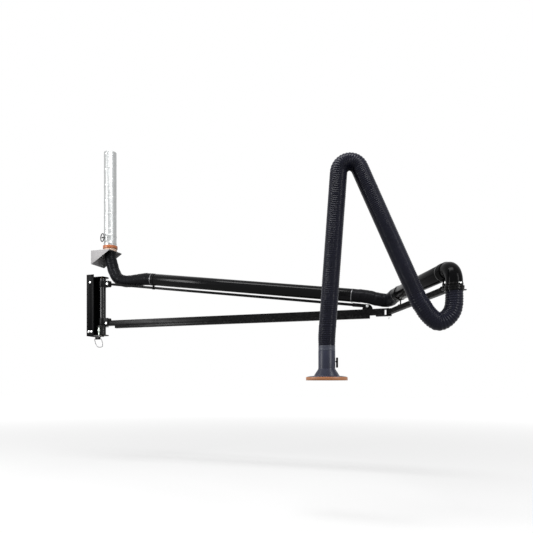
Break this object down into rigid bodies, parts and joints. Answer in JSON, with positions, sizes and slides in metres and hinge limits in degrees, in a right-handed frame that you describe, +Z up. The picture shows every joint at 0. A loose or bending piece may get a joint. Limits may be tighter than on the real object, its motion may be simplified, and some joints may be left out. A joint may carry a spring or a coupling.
{
  "type": "fume extraction arm",
  "caption": "Wall-held swinging boom in two lengths with a trolley rail, an air pipe and a hanging self-holding hose arm with a round hood, fed to a duct that rises from a wall console.",
  "frame": {"origin": "middle of the back face of the wall channel, on the wall", "axes": "+X out of the wall along the first boom at rest, +Y along the wall towards the duct console, +Z up"},
  "size_m": [5.6795, 2.6621, 3.7258],
  "materials": {
    "black_paint": "satin",
    "gloss_pipe": "gloss",
    "black_hose": "satin",
    "zinc": "satin",
    "galvanised": "satin",
    "grey_paint": "satin",
    "orange_paint": "satin",
    "orange_plastic": "satin",
    "hood_paint": "satin",
    "bronze": "satin",
    "link_metal": "satin",
    "steel": "satin"
  },
  "bodies": {
    "wall_unit": {"wall_channel": "black_paint", "anchor_bolt_1": "zinc", "anchor_bolt_2": "zinc", "anchor_bolt_3": "zinc", "anchor_bolt_4": "zinc", "upper_bearing_plate": "black_paint", "lower_bearing_plate": "black_paint", "upper_bush": "bronze", "lower_bush": "bronze", "lock_housing": "zinc", "duct_console": "grey_paint", "duct_collar": "orange_paint", "damper_sleeve": "galvanised", "spiral_duct": "galvanised", "wall_hose": "black_hose"},
    "lock_pin": {"lock_pin": "zinc"},
    "lock_ring": {"lock_ring": "steel"},
    "duct_damper": {"damper_blade": "steel", "damper_hand_ring": "steel"},
    "boom": {"pivot_post": "black_paint", "upper_clevis": "black_paint", "upper_clevis_bolt": "zinc", "lower_clevis": "black_paint", "lower_clevis_bolt": "zinc", "boom_tube": "black_paint", "trolley_rail": "black_paint", "tie_rod": "black_paint", "tie_rod_fork": "black_paint", "rod_ear": "black_paint", "rod_ear_bolt": "zinc", "duct_pipe": "gloss_pipe", "pipe_stand_inner": "black_paint", "pipe_stand_outer": "black_paint", "boom_end_fork": "black_paint", "hinge_pin": "zinc", "knuckle_hose": "black_hose"},
    "second_boom": {"second_boom_tube": "black_paint", "second_pipe": "gloss_pipe", "pipe_saddle_inner": "black_paint", "pipe_saddle_outer": "black_paint", "elbow_duct": "gloss_pipe", "elbow_clamp": "zinc", "swivel_ring": "black_paint", "end_bracket": "black_paint"},
    "arm_base": {"base_collar": "black_paint", "base_bracket": "link_metal", "base_hose": "black_hose"},
    "lower_arm": {"lower_link": "link_metal", "base_pin": "zinc", "middle_pin": "zinc", "lower_hose": "black_hose", "peak_hose": "black_hose"},
    "upper_arm": {"upper_link": "link_metal", "upper_hose": "black_hose", "hood_hose": "black_hose"},
    "hood_yoke": {"hood_yoke": "link_metal"},
    "hood": {"hood_collar": "hood_paint", "hood_shell": "hood_paint", "hood_rim": "orange_plastic"},
    "hood_damper": {"hood_damper": "steel"}
  },
  "joints": [
    {"name": "boom_swivel", "type": "hinge", "parent": "wall_unit", "child": "boom", "pos_m": [0.232, 0, 0], "axis": [0, 0, 1], "range_deg": [-90, 90], "deforming": ["wall_hose"]},
    {"name": "second_boom_swivel", "type": "hinge", "parent": "boom", "child": "second_boom", "pos_m": [4.732, 0, -0.296], "axis": [0, 0, 1], "range_deg": [-50, 180], "deforming": ["knuckle_hose"]},
    {"name": "arm_swivel", "type": "hinge", "parent": "second_boom", "child": "arm_base", "pos_m": [5.56456, -1.78543, -0.33], "axis": [0, 0, 1], "range_deg": [-45, 200]},
    {"name": "arm_base_tilt", "type": "hinge", "parent": "arm_base", "child": "lower_arm", "pos_m": [5.3006, -1.85615, -0.58809], "axis": [0.2588, -0.9659, 0], "range_deg": [-12, 65], "deforming": ["base_hose"]},
    {"name": "arm_elbow", "type": "hinge", "parent": "lower_arm", "child": "upper_arm", "pos_m": [4.56615, -2.05295, 0.94654], "axis": [-0.2588, 0.9659, 0], "range_deg": [-8, 110], "deforming": ["peak_hose"]},
    {"name": "hood_tilt", "type": "hinge", "parent": "upper_arm", "child": "hood_yoke", "pos_m": [4.36772, -2.10612, -0.78], "axis": [0.2588, -0.9659, 0], "range_deg": [-45, 45], "deforming": ["hood_hose"]},
    {"name": "hood_swivel", "type": "hinge", "parent": "hood_yoke", "child": "hood", "pos_m": [4.36772, -2.10612, -0.885], "axis": [0, 0, 1], "range_deg": [-150, 150]},
    {"name": "hood_damper_turn", "type": "hinge", "parent": "hood", "child": "hood_damper", "pos_m": [4.36772, -2.10612, -1.0298], "axis": [-0.9659, -0.2588, 0], "range_deg": [0, 90]},
    {"name": "duct_damper_turn", "type": "hinge", "parent": "wall_unit", "child": "duct_damper", "pos_m": [0.248, 0.18, 1.11], "axis": [-0.5, -0.866, 0], "range_deg": [0, 90]},
    {"name": "lock_slide", "type": "slide", "parent": "wall_unit", "child": "lock_pin", "axis": [0, 0, 1], "range_m": [0, 0.014]},
    {"name": "lock_ring_swing", "type": "hinge", "parent": "lock_pin", "child": "lock_ring", "pos_m": [0.21513, -0.07308, -0.5345], "axis": [1, 0, 0], "range_deg": [-60, 60]}
  ]
}
